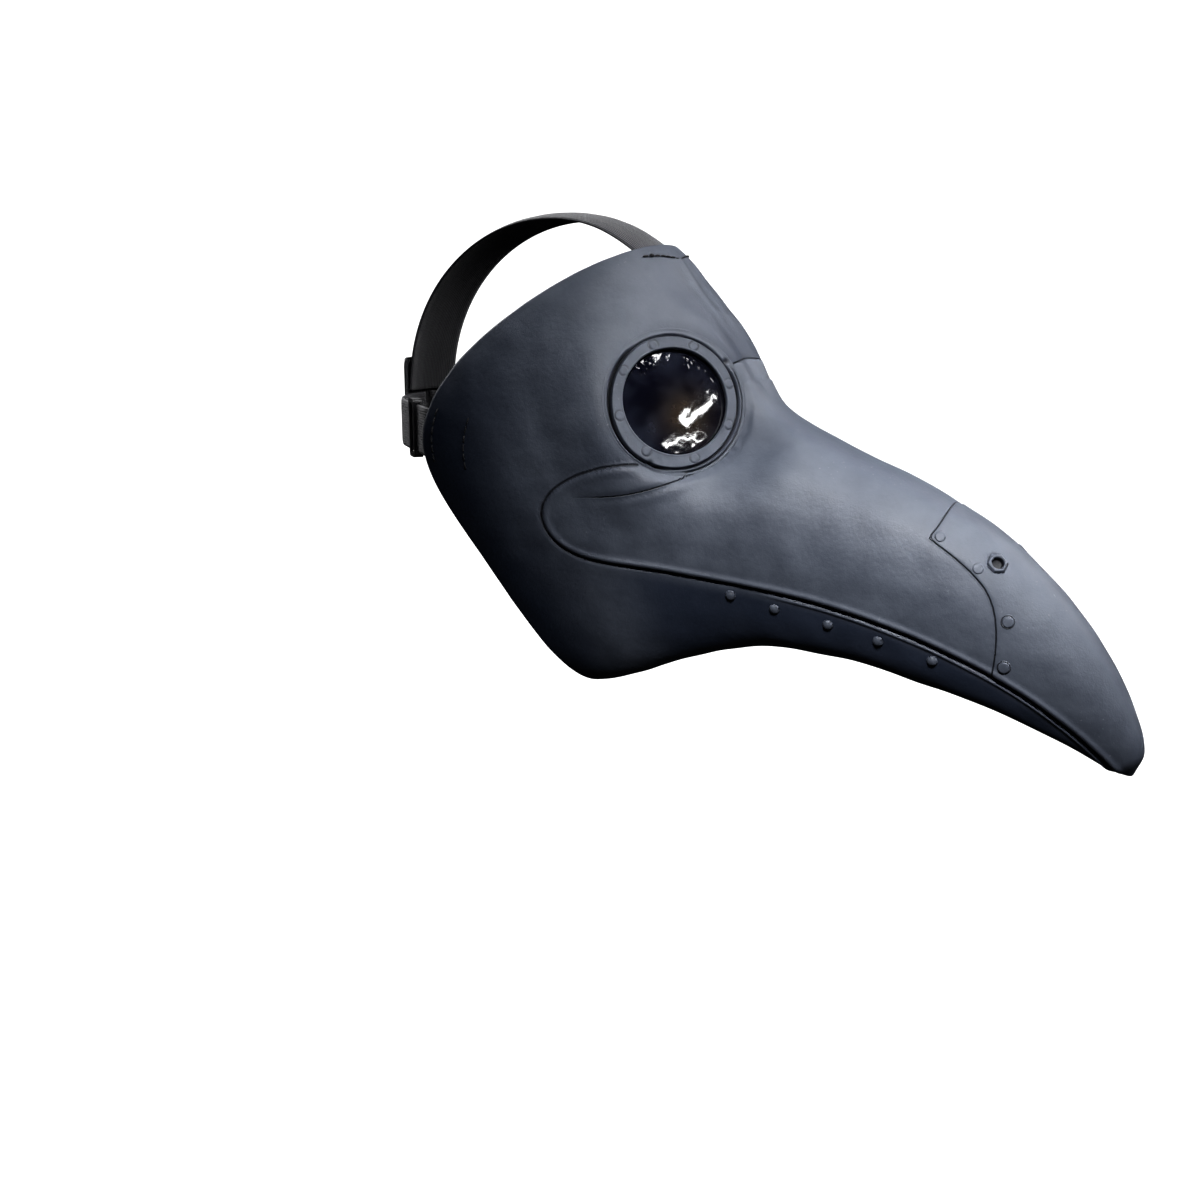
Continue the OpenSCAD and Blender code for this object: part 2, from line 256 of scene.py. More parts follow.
def distanceToLine(p, line):
    flat = p.reshape(-1, 3)
    best = np.full(len(flat), 1e9)
    for a, b in zip(line[:-1], line[1:]):
        ab = b - a
        t = np.clip((flat - a) @ ab / max(ab @ ab, 1e-9), 0, 1)
        best = np.minimum(best, np.linalg.norm(flat - a - t[:, None] * ab, axis=1))
    return best.reshape(p.shape[:-1])


def insideArea(u, v, corners):
    inside = np.zeros(u.shape, bool)
    for (u0, v0), (u1, v1) in zip(corners, corners[1:] + corners[:1]):
        if v0 == v1:
            continue
        crosses = (v0 > v) != (v1 > v)
        inside ^= crosses & (u < (u1 - u0) * (v - v0) / (v1 - v0) + u0)
    return inside


def roundCorners(points, steps=6):
    line = openEnds(points)
    return readSpline(line, np.linspace(0, len(points) - 1, (len(points) - 1) * steps + 1))


def softWaves(p, size, count, seed):
    # smooth wandering values in -1..1, with features about size millimetres across
    waves = np.random.default_rng(seed)
    total = np.zeros(p.shape[:-1])
    for _ in range(count):
        direction = waves.normal(size=3)
        direction *= fullTurn / (size * waves.uniform(0.7, 1.5)) / np.linalg.norm(direction)
        total += np.sin(p @ direction + waves.uniform(0, 6.28))
    return total / math.sqrt(count)


# node helpers: each takes the material's node tree, and a value may be a socket or a constant
def newMaterial(name):
    material = bpy.data.materials.new(name)
    material.use_nodes = True
    return material, material.node_tree, material.node_tree.nodes["Principled BSDF"]


def plug(tree, node, values):
    for name, value in values.items():
        if hasattr(value, "links"):
            tree.links.new(value, node.inputs[name])
        else:
            node.inputs[name].default_value = value


def addNode(tree, kind, **settings):
    n = tree.nodes.new(kind)
    for key, value in settings.items():
        setattr(n, key, value)
    return n


def objectCoords(tree):
    return addNode(tree, "ShaderNodeTexCoord").outputs["Object"]


def fieldValue(tree, name):
    return addNode(tree, "ShaderNodeAttribute", attribute_name=name).outputs["Fac"]


def noiseNode(tree, coords, scale, detail, roughness=0.5):
    n = addNode(tree, "ShaderNodeTexNoise")
    plug(tree, n, {"Vector": coords, "Scale": scale, "Detail": detail, "Roughness": roughness})
    return n.outputs["Fac"]


def rampNode(tree, value, places, colours=((0, 0, 0), (1, 1, 1))):
    n = addNode(tree, "ShaderNodeValToRGB")
    for element, place, colour in zip(n.color_ramp.elements, places, colours):
        element.position = place
        element.color = (*colour, 1)
    plug(tree, n, {"Fac": value})
    return n.outputs["Color"]


def rangeNode(tree, value, ends):
    n = addNode(tree, "ShaderNodeMapRange")
    plug(tree, n, {"Value": value, "To Min": ends[0], "To Max": ends[1]})
    return n.outputs[0]


def mathNode(tree, how, a, b=None, clamp=False):
    n = addNode(tree, "ShaderNodeMath", operation=how, use_clamp=clamp)
    plug(tree, n, {0: a} if b is None else {0: a, 1: b})
    return n.outputs[0]


def weightedSum(tree, a, shareA, b, shareB):
    a, b = mathNode(tree, "MULTIPLY", a, shareA), mathNode(tree, "MULTIPLY", b, shareB)
    return mathNode(tree, "ADD", a, b)


def mixColour(tree, factor, a, b):
    n = addNode(tree, "ShaderNodeMix", data_type="RGBA")
    a, b = [x if hasattr(x, "links") else (*x, 1) for x in (a, b)]
    plug(tree, n, {0: factor, 6: a, 7: b})
    return n.outputs[2]


def bumpNode(tree, height, strength, distance, under=None):
    n = addNode(tree, "ShaderNodeBump")
    plug(tree, n, {"Height": height, "Strength": strength, "Distance": distance})
    if under is not None:
        plug(tree, n, {"Normal": under})
    return n.outputs["Normal"]


def lineMask(tree, name, width):
    # 1 on the line, 0 away from it; the field holds millimetres from the line
    away = mathNode(tree, "DIVIDE", mathNode(tree, "ABSOLUTE", fieldValue(tree, name)), width)
    return mathNode(tree, "SUBTRACT", 1.0, away, clamp=True)


latexLook = {
    "shade": (0.050, 0.057, 0.074),
    "lighter": (0.070, 0.079, 0.099),
    "dust": (0.20, 0.21, 0.23),
    "dustAmount": 0.5,
    # painted shade for grooves, recesses and outlines
    "paintedGrooveShade": (0.006, 0.007, 0.010),
    # painted shade: the colour that the jaw and the temples are darkened toward
    "paintedShadeColour": (0.012, 0.018, 0.034),
    "roughness": (0.50, 0.66),
    "specular": 0.42,
    "lineWidths": {"plateLine": 0.95, "tipLine": 0.5, "browLine": 0.6},
    "creaseWidth": 0.5,
}


def latexMaterial(p, withLines):
    material, tree, latex = newMaterial("mouldedLatex" if withLines else "plainLatex")
    coords = objectCoords(tree)
    cloudy = noiseNode(tree, coords, 22, 5, 0.6)
    patchy = noiseNode(tree, coords, 95, 4, 0.6)
    tone = rampNode(tree, weightedSum(tree, cloudy, 0.6, patchy, 0.4), (0.38, 0.62))
    colour = mixColour(tree, tone, p["shade"], p["lighter"])
    # fine dust that gathers in patches
    specks = rampNode(tree, noiseNode(tree, coords, 520, 2, 0.7), (0.66, 0.74))
    patches = rampNode(tree, noiseNode(tree, coords, 40, 3), (0.52, 0.72))
    dust = mathNode(tree, "MULTIPLY", mathNode(tree, "MULTIPLY", specks, patches), p["dustAmount"])
    colour = mixColour(tree, dust, colour, p["dust"])
    normal = bumpNode(tree, noiseNode(tree, coords, 1400, 3, 0.6), 0.16, 0.0003)
    normal = bumpNode(tree, noiseNode(tree, coords, 330, 4, 0.55), 0.22, 0.0007, normal)
    if withLines:
        # painted shade on the jaw under the plate and on the temples
        colour = mixColour(tree, fieldValue(tree, "paintedShadeArea"), colour, p["paintedShadeColour"])
        # painted shade darkens the grooves along the plate, tip, brow and crease lines
        crease = lineMask(tree, "creaseLine", p["creaseWidth"])
        lines = mathNode(tree, "MULTIPLY", crease, fieldValue(tree, "creaseHere"))
        for name, width in p["lineWidths"].items():
            lines = mathNode(tree, "MAXIMUM", lines, lineMask(tree, name, width))
        colour = mixColour(tree, mathNode(tree, "POWER", lines, 0.8), colour, p["paintedGrooveShade"])
        normal = bumpNode(tree, mathNode(tree, "SUBTRACT", 1.0, lines), 0.9, 0.0006, normal)
    else:
        # painted shade in the rims' grooves and pits, round the rivets and in the nut's hole
        colour = mixColour(tree, fieldValue(tree, "creaseShade"), colour, p["paintedGrooveShade"])
    plug(tree, latex, {"Base Color": colour, "Roughness": rangeNode(tree, patchy, p["roughness"]),
                       "Normal": normal, "Specular IOR Level": p["specular"]})
    return material


filmLook = {
    "clear": ((0.004, 0.004, 0.008), (0.020, 0.023, 0.033)),
    "amber": ((0.012, 0.010, 0.008), (0.042, 0.030, 0.018)),
    "roughness": 0.07,
    "coat": 0.6,
    "coatRoughness": 0.03,
}


def filmMaterial(p):
    material, tree, film = newMaterial("lensFilm")
    coords = objectCoords(tree)
    stain = noiseNode(tree, coords, 60, 4, 0.6)
    clear = rampNode(tree, stain, (0.42, 0.68), p["clear"])
    amber = rampNode(tree, stain, (0.35, 0.7), p["amber"])
    crinkle = bumpNode(tree, noiseNode(tree, coords, 210, 3), 0.06, 0.0008)
    plug(tree, film, {"Base Color": mixColour(tree, fieldValue(tree, "amberPart"), clear, amber),
                      "Normal": crinkle, "Roughness": p["roughness"],
                      "Coat Weight": p["coat"], "Coat Roughness": p["coatRoughness"]})
    return material


glueLook = {"shades": ((0.02, 0.02, 0.022), (0.05, 0.05, 0.055)), "roughness": 0.34}


def glueMaterial(p):
    material, tree, glue = newMaterial("glueBead")
    lumps = noiseNode(tree, objectCoords(tree), 260, 4, 0.6)
    plug(tree, glue, {"Base Color": rampNode(tree, lumps, (0.3, 0.7), p["shades"]),
                      "Normal": bumpNode(tree, lumps, 0.4, 0.0008), "Roughness": p["roughness"]})
    return material


# ribs across each band and threads along it, both counted per millimetre of its flat cloth
weaveLooks = {
    "elasticWeave": {
        "shades": ((0.012, 0.012, 0.014), (0.085, 0.085, 0.092)), "ribs": 1.1, "threads": 0.75,
    },
    "liningWeave": {
        "shades": ((0.02, 0.02, 0.022), (0.09, 0.09, 0.095)), "ribs": 1.6, "threads": 1.6,
    },
    "webbingWeave": {
        "shades": ((0.010, 0.010, 0.012), (0.055, 0.055, 0.060)), "ribs": 0.8, "threads": 0.5,
    },
}
clothLook = {"roughness": 0.85, "specular": 0.25, "sheen": 0.25, "sheenRoughness": 0.5}


def wovenMaterial(name, p, look):
    material, tree, cloth = newMaterial(name)
    uv = addNode(tree, "ShaderNodeUVMap").outputs[0]
    split = addNode(tree, "ShaderNodeSeparateXYZ")
    plug(tree, split, {0: uv})
    across, along = split.outputs[0], split.outputs[1]
    ribs = weightedSum(tree, along, p["ribs"] * fullTurn, noiseNode(tree, uv, 0.35, 3), 1.5)
    ribWave = mathNode(tree, "SINE", ribs)
    threadWave = mathNode(tree, "SINE", mathNode(tree, "MULTIPLY", across, p["threads"] * fullTurn))
    weave = mathNode(tree, "MULTIPLY", ribWave, threadWave)
    height = weightedSum(tree, weave, 0.5, threadWave, 0.6)
    level = mathNode(tree, "ADD", mathNode(tree, "MULTIPLY", height, 0.35), 0.5)
    fuzz = noiseNode(tree, uv, 3.5, 3, 0.7)
    tone = weightedSum(tree, level, 0.7, fuzz, 0.3)
    normal = bumpNode(tree, fuzz, 0.25, 0.0004, bumpNode(tree, height, 0.5, 0.0003))
    plug(tree, cloth, {"Base Color": rampNode(tree, tone, (0.2, 0.8), p["shades"]), "Normal": normal,
                       "Roughness": look["roughness"], "Specular IOR Level": look["specular"],
                       "Sheen Weight": look["sheen"], "Sheen Roughness": look["sheenRoughness"]})
    return material


threadLook = {"shades": ((0.004, 0.004, 0.006), (0.02, 0.02, 0.024)), "roughness": 0.6}


def threadMaterial(p):
    material, tree, thread = newMaterial("sewingThread")
    uv = addNode(tree, "ShaderNodeUVMap").outputs[0]
    twist = addNode(tree, "ShaderNodeTexWave", wave_type="BANDS", bands_direction="DIAGONAL")
    plug(tree, twist, {"Vector": uv, "Scale": 1.2, "Distortion": 0.6})
    strands = twist.outputs["Fac"]
    plug(tree, thread, {"Base Color": rampNode(tree, strands, (0.2, 0.8), p["shades"]),
                        "Normal": bumpNode(tree, strands, 0.5, 0.0002), "Roughness": p["roughness"]})
    return material


plasticLook = {"shades": ((0.012, 0.012, 0.013), (0.03, 0.03, 0.032)), "roughness": (0.28, 0.5)}


def plasticMaterial(p):
    material, tree, plastic = newMaterial("sliderPlastic")
    coords = objectCoords(tree)
    worn = noiseNode(tree, coords, 120, 4, 0.6)
    plug(tree, plastic, {"Base Color": rampNode(tree, worn, (0.35, 0.75), p["shades"]),
                         "Roughness": rangeNode(tree, worn, p["roughness"]),
                         "Normal": bumpNode(tree, noiseNode(tree, coords, 900, 3, 0.6), 0.15, 0.0002)})
    return material


skinLatex = latexMaterial(latexLook, True)
plainLatex = latexMaterial(latexLook, False)
lensFilm = filmMaterial(filmLook)
glueBead = glueMaterial(glueLook)
elasticWeave, liningWeave, webbingWeave = [
    wovenMaterial(name, weave, clothLook) for name, weave in weaveLooks.items()]
sewingThread = threadMaterial(threadLook)
sliderPlastic = plasticMaterial(plasticLook)
print("materials ready")


# heights and depths on the latex shell, in millimetres
shellDetail = {
    "plateHeight": 1.5,   # how far the upper beak plate stands over the jaw
    "plateLip": 0.75,
    "plateGroove": 0.8,
    "ledgeHeight": 0.8,
    "browGroove": 0.5,
    "tipStep": 0.45,
    "tipGroove": 0.25,
    "creaseHeight": 1.1,
    "creaseGroove": 0.5,
    "keelHeight": 0.9,
    "nutRecess": 2.6,
    "dents": 0.35,
    # how strongly the painted shade darkens the jaw and the temples
    "paintedShadeShare": 0.8,
}
# edges as (u, v): u from the rim at 0 to the tip at 11, v from the top at 0 to the bottom at 10
# the upper plate's edge runs from the tip along the beak, round the cheek lobe, up to the goggle
plateEdge = [
    (11, 6), (10.4, 5.5), (9.5, 5), (8.7, 4.9), (7.6, 4.94), (6.4, 4.88), (5.5, 4.84), (4.4, 4.93),
    (3.4, 5.1), (2.6, 5.28), (2.2, 5.28), (1.93, 5.12), (1.88, 4.78), (2.02, 4.42), (2.28, 4.02),
    (2.67, 3.61), (3.03, 3.34),
]
browEdge = [(3.2, 1.1), (3.26, 0.84), (3.3, 0.45), (3.25, 0)]
tipEdge = [
    (6.6, 0), (6.62, 0.6), (6.64, 1.4), (6.62, 1.8), (6.59, 2.05), (6.75, 2.1), (6.95, 2.17),
    (7.2, 2.28), (7.42, 2.46), (7.58, 2.84), (7.7, 3.34), (7.8, 4.08), (7.86, 4.9),
]
creaseEdge = [
    (3.9, 1.3), (4.0, 1.9), (3.86, 2.5), (3.62, 3.03), (3.31, 3.5), (2.98, 3.86), (2.7, 4.05), (2.4, 4.2),
]
nutSpot = (7.35, 1.55)


def edgeLine(edge):
    uv = roundCorners(edge, 6)
    return halfSkin(uv[:, 0], uv[:, 1])


def shellColumns():
    # closest together along the plate's lower edge, which is column 5
    return joinedRuns([0, 4.6, 4.88, 5.12, 5.6, 10], [84, 8, 18, 13, 35])


def shellRows():
    body = joinedRuns([0, 1.5, 4.5, 6.4, 8.0, 10.2], [28, 83, 33, 45, 39])
    return np.concatenate([body[:-1], 10.2 + 0.8 * np.sin(np.linspace(0, math.pi / 2, 22))])


def roundTip(u, ring, start=10.25):
    # the last rings draw together into a rounded end
    t = np.clip((u - start) / (tipRow - start), 0, 1)
    size = np.sqrt(np.maximum(1 - t * t, 0.0009))[..., None]
    centre = (ring[:, :1] + ring[:, -1:]) / 2
    return centre + (ring - centre) * size


def followPlate(u, t):
    # column 5 runs exactly along the plate's lower edge
    knots = roundCorners(plateEdge[:10][::-1], 8)
    edge = np.interp(u, knots[:, 0], knots[:, 1])
    edge = 5 + (edge - 5) * smoothStep((u - 2.2) / 0.8)
    return np.where(t < 5, t * edge / 5, edge + (t - 5) * (10 - edge) / 5)


def shellForm(p):
    u, t = np.meshgrid(shellRows(), shellColumns(), indexing="ij")
    v = followPlate(u, t)
    point, normal = roundTip(u, halfSkin(u, v)), halfNormal(u, v)
    # millimetres from each edge, positive inside the plate
    closing = [(3.09, 2.14)] + browEdge + [(11, -0.5), (11.5, 3)]
    corners = [tuple(c) for c in roundCorners(plateEdge, 5)] + closing
    plateSide = np.where(insideArea(u, v, corners), 1, -1)
    plate = distanceToLine(point, edgeLine(plateEdge)) * plateSide
    brow = distanceToLine(point, edgeLine(browEdge)) * plateSide
    tipCorners = tipEdge + [(7.9, 12), (12, 12), (12, -1), (6.6, -1)]
    tip = distanceToLine(point, edgeLine(tipEdge)) * np.where(insideArea(u, v, tipCorners), 1, -1)
    height, radius, _ = goggleReach(point)
    nearGoggle = np.where(np.abs(height) < 15, radius, 99)

    # raised plate with a soft lip and a groove under it, whose dark line is painted shade
    step = np.where(np.abs(plate) < np.abs(brow), plate, brow)
    inPlate = smoothStep(step / 1.1 + 0.4)
    fade = 0.35 + 0.65 * smoothStep((u - 1.9) / 1.5)
    move = p["plateHeight"] * inPlate * np.where(np.abs(brow) < 12, 0.5, 1) * fade
    move += p["plateLip"] * bump((plate - 1.9) / 1.3) - p["plateGroove"] * bump((plate + 0.7) / 0.8)
    move -= p["browGroove"] * bump(brow / 0.8)
    # thin ledge under the overhang along the jaw
    alongJaw = smoothStep((u - 4.6) / 0.8) * (1 - smoothStep((u - 10.2) / 0.6))
    move += p["ledgeHeight"] * bump((plate + 2.9) / 0.9) * alongJaw
    # beak tip plate
    onTip = smoothStep(tip / 0.8 + 0.5) * inPlate
    move += p["tipStep"] * onTip - p["tipGroove"] * bump(tip / 0.5) * inPlate
    # piping that leaves the goggle and fades into the cheek as a crease
    uv = roundCorners(creaseEdge)
    crease = distanceToLine(point, halfSkin(uv[:, 0], uv[:, 1]))
    below = insideArea(u, v, [tuple(c) for c in uv] + [(2.4, 6), (6, 6), (6, 1.3)])
    crease = crease * np.where(below, 1, -1)
    strength = smoothStep((u - 2.25) / 0.9) * smoothStep((v - 1.1) / 0.9) * inPlate
    tongue = smoothStep(0.5 - crease / 1.6) * bump(np.minimum(crease, 0) / 10)
    move += strength * (p["creaseHeight"] * tongue - p["creaseGroove"] * bump((crease - 1.0) / 1.2))
    move += strength * p["creaseGroove"] * bump((crease - 4.0) / 2.5)
    # soft keel down the middle of the brow
    onBrow = smoothStep((u - 0.3) / 0.8) * (1 - smoothStep((u - 2.7) / 0.7))
    move += p["keelHeight"] * bump(point[..., 0] / 3.2) * onBrow
    # recess behind the nut's hole
    fromNut = np.linalg.norm(point - halfSkin(*nutSpot), axis=-1)
    move -= p["nutRecess"] * (1 - smoothStep((fromNut - 3.0) / 1.6))
    # level where the goggle rim joins, and at the very tip
    move *= smoothStep((nearGoggle - goggleRim["outer"]) / 5) * smoothStep((10.9 - u) / 0.5)
    # painted shade: the jaw under the plate and the temples are darkened in colour, where shade falls
    jaw = smoothStep((-0.5 - plate) / 7) * smoothStep((u - 2.2) / 1.2)
    temple = smoothStep((2.4 - u) / 1.9) * smoothStep((v - 2.3) / 1.6) * (1 - smoothStep((v - 8.2) / 1.5))
    fields = {
        "plateLine": plate + 0.45,
        "tipLine": np.where(inPlate > 0.5, tip, 9),
        "browLine": np.clip(brow, -8, 8),
        "creaseLine": np.clip(crease - 0.3, -8, 8),
        "creaseHere": strength * smoothStep((7 - np.abs(crease)) / 3),
        "paintedShadeArea": p["paintedShadeShare"] * np.maximum(jaw, temple),
    }
    return point, normal, move, fields


def mirrorRing(a, odd=False):
    left = a[:, -2:0:-1].copy()
    if odd:
        left[..., 0] *= -1
    return np.concatenate([a, left], 1)


def snapToCircle(points, radius, reach):
    # pulls the points nearest the circle round each goggle onto it
    inside = np.zeros(len(points), bool)
    for mirror in ([1, 1, 1], [-1, 1, 1]):
        local = points * mirror
        height, r, _ = goggleReach(local)
        near = (np.abs(r - radius) < reach) & (np.abs(height) < 8)
        flat = local - goggleCentre - height[:, None] * goggleNormal
        moved = local + flat * ((radius - r) / np.maximum(r, 1))[:, None]
        points[near] = (moved * mirror)[near]
        inside |= near | ((r < radius) & (np.abs(height) < 8))
    return inside


def buildShell(p):
    point, normal, move, fields = shellForm(p)
    point, normal = mirrorRing(point, True), mirrorRing(normal, True)
    move = mirrorRing(move)
    rows, columns = move.shape
    fromGoggle = np.minimum(goggleReach(point)[1], goggleReach(point * [-1, 1, 1])[1])
    calm = smoothStep((fromGoggle - goggleRim["outer"]) / 10)
    dents = p["dents"] * (softWaves(point, 55, 7, 3) + 0.35 * softWaves(point, 16, 9, 4)) * calm
    outer = point + normal * (move + dents)[..., None]
    # the inner face is coarser along the beak, and follows the same columns
    inRows = joinedRuns([0, 4.5, 11], [29, 19])
    u, t = np.meshgrid(inRows * maskForm["innerReach"], shellColumns(), indexing="ij")
    v = followPlate(u, t)
    inner = mirrorRing(halfSkin(u, v) - maskForm["wall"] * halfNormal(u, v), True)
    # trimmed edge of the rim, slightly rounded
    lip = (outer[0] + inner[0]) / 2 + 0.35 * unit(point[0] - point[1])
    first = rows * columns
    innerFirst = first + columns
    outside, inside = outer.reshape(-1, 3), inner.reshape(-1, 3)
    # the eyes are open out to the goggle rims, which meet these edges
    gone = np.concatenate([
        snapToCircle(outside, goggleRim["outer"], 1.3), np.zeros(columns, bool),
        snapToCircle(inside, goggleRim["inner"], 2.2),
    ])
    points = np.concatenate([outside, lip, inside])
    faces = gridFaces(rows, columns)
    faces += gridFaces(len(inRows), columns, innerFirst, flip=True)
    for j in range(columns):
        k = (j + 1) % columns
        faces.append((k, j, first + j, first + k))
        faces.append((first + k, first + j, innerFirst + j, innerFirst + k))
    faces.append(range(first - columns, first))
    faces.append(range(len(points) - 1, len(points) - columns - 1, -1))
    faces = [f for f in faces if not all(gone[i] for i in f)]
    used = np.unique(np.concatenate([np.asarray(f) for f in faces]))
    renumber = -np.ones(len(points), int)
    renumber[used] = np.arange(len(used))
    faces = [[int(renumber[i]) for i in f] for f in faces]
    shell = makePiece("latexShell", points[used], faces, "mask", ["mask_shell"], skinLatex)
    for name, values in fields.items():
        whole = np.full(len(points), 0.0 if name in ("creaseHere", "paintedShadeArea") else 9.0)
        whole[:first] = mirrorRing(values).ravel()
        addField(shell, name, whole[used])
    return shell


goggleRim = {
    "outer": 36.0,
    "inner": 33.0,
    "faceHeight": 1.3,
    "rivetAngles": [148, 108, 67, 16, -25, -75, -124, -167],
    "rivetAt": 28.9,
    "rivetSize": 2.25,
    "rivetHeight": 0.42,
    "pitAngles": [35, -117],
    "pitAt": 33.4,
    "pitDepth": 1.2,
    # radius and height
    "eyeWall": [(26.6, -2.15), (26.15, -1.6), (25.95, -0.9), (25.9, -0.2), (25.9, 0.4),
                (26.0, 0.95), (26.25, 1.35), (26.6, 1.55)],
    "underside": [(35.9, -0.12), (33.12, -2.1), (33.0, -2.2), (32.7, -2.2), (30.0, -2.2),
                  (27.2, -2.2), (26.8, -2.2)],
}
latexShell = buildShell(shellDetail)
print("latex shell:", len(latexShell.data.polygons), "faces")


def gogglePoints(local, mirror=1):
    # local columns: toward the beak, up, out
    across, up, out = local[..., :1], local[..., 1:2], local[..., 2:]
    p = goggleCentre + across * goggleSide + up * goggleUp + out * goggleNormal
    return p * [mirror, 1, 1]


def angleFrom(a, degrees):
    return np.abs((np.degrees(a) - degrees + 180) % 360 - 180)


def rimSection(p, a):
    # the rim is wide at the back, piped toward the beak, and thin between
    wide = 1 - smoothStep((angleFrom(a, -168) - 50) / 22)
    piped = 1 - smoothStep((angleFrom(a, -30) - 52) / 8)
    thin = 1 - np.maximum(wide, piped)
    # the flat face ends at a wandering radius, and everything outside it is stretched to suit
    edge = 31.3 + 2.2 * bump(angleFrom(a, -130) / 40) + 0.7 * bump(angleFrom(a, 95) / 45)
    edge += 0.5 * bump(angleFrom(a, -80) / 30)
    r = joinedRuns([27, 31, 35.2, p["outer"]], [18, 33, 4])[:, None] + 0 * a
    inward = 27 + (r - 27) * (edge - 27) / 4.8
    outward = edge + (r - 31.8) * (p["outer"] - edge) / 4.2
    stretched = np.where(r < 31.8, inward, outward)
    # flat face, groove, lip or piping, level with the skin at the end
    z = p["faceHeight"] * (1 - smoothStep((r - 31.15) / 0.75)) * smoothStep((r - 25.6) / 1.4)
    z -= bump((r - 32.25) / 0.42) * (0.8 * thin + 0.9 * piped) + 2.0 * wide * bump((r - 32.6) / 0.78)
    z += 0.28 * thin * bump((r - 33.4) / 0.7) + 0.5 * wide * bump((r - 34.2) / 0.75)
    z += piped * (1.0 * bump((r - 33.45) / 0.55) - 0.6 * bump((r - 34.5) / 0.32))
    # painted shade: darker in the groove round the face and beside the piping
    shade = (1 - 0.5 * thin) * bump((r - 32.3) / 0.5) + wide * bump((r - 32.6) / 0.7)
    shade = np.clip(shade + 0.8 * piped * bump((r - 34.5) / 0.3), 0, 1)
    # small pits where the lip starts and ends, darkened with painted shade
    for angle in p["pitAngles"]:
        t = math.radians(angle)
        away = np.hypot(stretched * np.cos(a) - p["pitAt"] * math.cos(t),
                        stretched * np.sin(a) - p["pitAt"] * math.sin(t))
        z -= p["pitDepth"] * bump(away / 1.3)
        shade = np.maximum(shade, bump(away / 1.4))
    # rows before and after: the eye opening's wall, and the underside
    rows = [np.asarray(x)[:, :, None] + 0 * a for x in (p["eyeWall"], p["underside"])]
    r = np.concatenate([rows[0][:, 0], stretched, rows[1][:, 0]])
    z = np.concatenate([rows[0][:, 1], z, rows[1][:, 1]])
    shade = np.concatenate([0 * rows[0][:, 0], shade, 0 * rows[1][:, 0]])
    return r, z, shade


def buildGoggleRim(p, name, mirror, seed):
    turns = turnsOf(360)
    r, z, shade = rimSection(p, turns)
    a = np.broadcast_to(turns, r.shape)
    x, y = r * np.cos(a), r * np.sin(a)
    top = smoothStep((z - 0.9) / 0.7)
    at, size = p["rivetAt"], p["rivetSize"]
    for angle in p["rivetAngles"]:
        t = math.radians(angle)
        fromRivet = np.hypot(x - at * math.cos(t), y - at * math.sin(t))
        outline = bump((fromRivet - size - 0.2) / 0.3) * top * smoothStep((r - at + 2.2) / 1.5)
        z += p["rivetHeight"] * smoothStep((size - fromRivet) / 0.4) * top
        z -= 0.5 * outline
        # a short tick from the rivet out to the groove
        aside = np.abs((a - t + math.pi) % fullTurn - math.pi) * r
        tick = bump((aside - 0.4 * math.sin(3 * angle)) / 0.3) * top * (fromRivet > size) * (r > at)
        z -= 0.35 * tick
        # painted shade in the dents round each rivet and in the ticks
        shade = np.maximum(shade, np.maximum(outline, 0.7 * tick))
    local = np.stack([x, y, z], -1)
    local[..., 2] += (0.13 * softWaves(local, 12, 6, seed) + 0.04 * softWaves(local, 4, 6, seed + 1)) * top
    points = gogglePoints(local, mirror).reshape(-1, 3)
    rows, columns = r.shape
    faces = gridFaces(rows, columns, flip=mirror > 0)
    for j in range(columns):
        k = (j + 1) % columns
        quad = ((rows - 1) * columns + j, (rows - 1) * columns + k, k, j)
        faces.append(quad[::-1] if mirror > 0 else quad)
    rim = makePiece(name, points, faces, "mask", (), plainLatex)
    addField(rim, "creaseShade", shade)


buildGoggleRim(goggleRim, "goggleRimRight", 1, 11)
buildGoggleRim(goggleRim, "goggleRimLeft", -1, 21)
print("goggle rims ready")

lensDish = {
    "radius": 30.0,
    "seatZ": -2.27,
    "bulge": 1.5,
    "thickness": 0.35,
    "puckers": 0.06,      # all round the glued edge
    "topWrinkles": 0.08,
    "slack": 0.04,
    "foldHeight": 0.03,
    "grain": 0.006,
    "amberSpot": (6, -7),
    "amberSize": 13,
}


def filmHeight(p, flat, r, a, seed):
    x, y = flat[..., 0], flat[..., 1]
    loose = 1 - smoothStep((r - 23.0) / 3.5)
    z = p["seatZ"] + p["bulge"] * np.clip(1 - (r / 26.5) ** 2, 0, 1)
    # small puckers near the glued edge
    wander = 1.1 * softWaves(flat, 26, 5, seed) + 0.4 * softWaves(flat, 9, 5, seed + 1)
    edge = smoothStep((r - 15) / 9) * (1 - smoothStep((r - 25) / 1.8))
    edge *= 0.12 + 0.88 * smoothStep((y + 4) / 9)
    patches = smoothStep(softWaves(flat, 18, 5, seed + 2) + 0.3)
    z += p["puckers"] * np.sin(31 * a + 3.1 * wander) * edge * patches
    # slack waves, and finer wrinkles at the top
    z += p["slack"] * softWaves(flat * [1, 1.7, 1], 22, 6, seed + 3) * loose
    high = smoothStep((y + 0.3 * x - 6) / 8) * smoothStep((r - 17) / 3) * loose
    high *= smoothStep(softWaves(flat, 8, 5, seed + 6))
    z += p["topWrinkles"] * np.sin(17 * a + 4 * softWaves(flat, 7, 5, seed + 5)) * high
    z += p["grain"] * softWaves(flat, 5, 8, seed + 4) * loose
    # two long folds low on the beak side
    fold = -0.60 * x + 0.80 * y + 12.5 + 1.1 * np.sin(x / 3.1)
    z += p["foldHeight"] * bump(fold / 3.0) * smoothStep((x + 1) / 8) * loose
    return z - p["foldHeight"] * bump((fold + 7.5) / 2.6) * smoothStep((x + 9) / 10) * loose


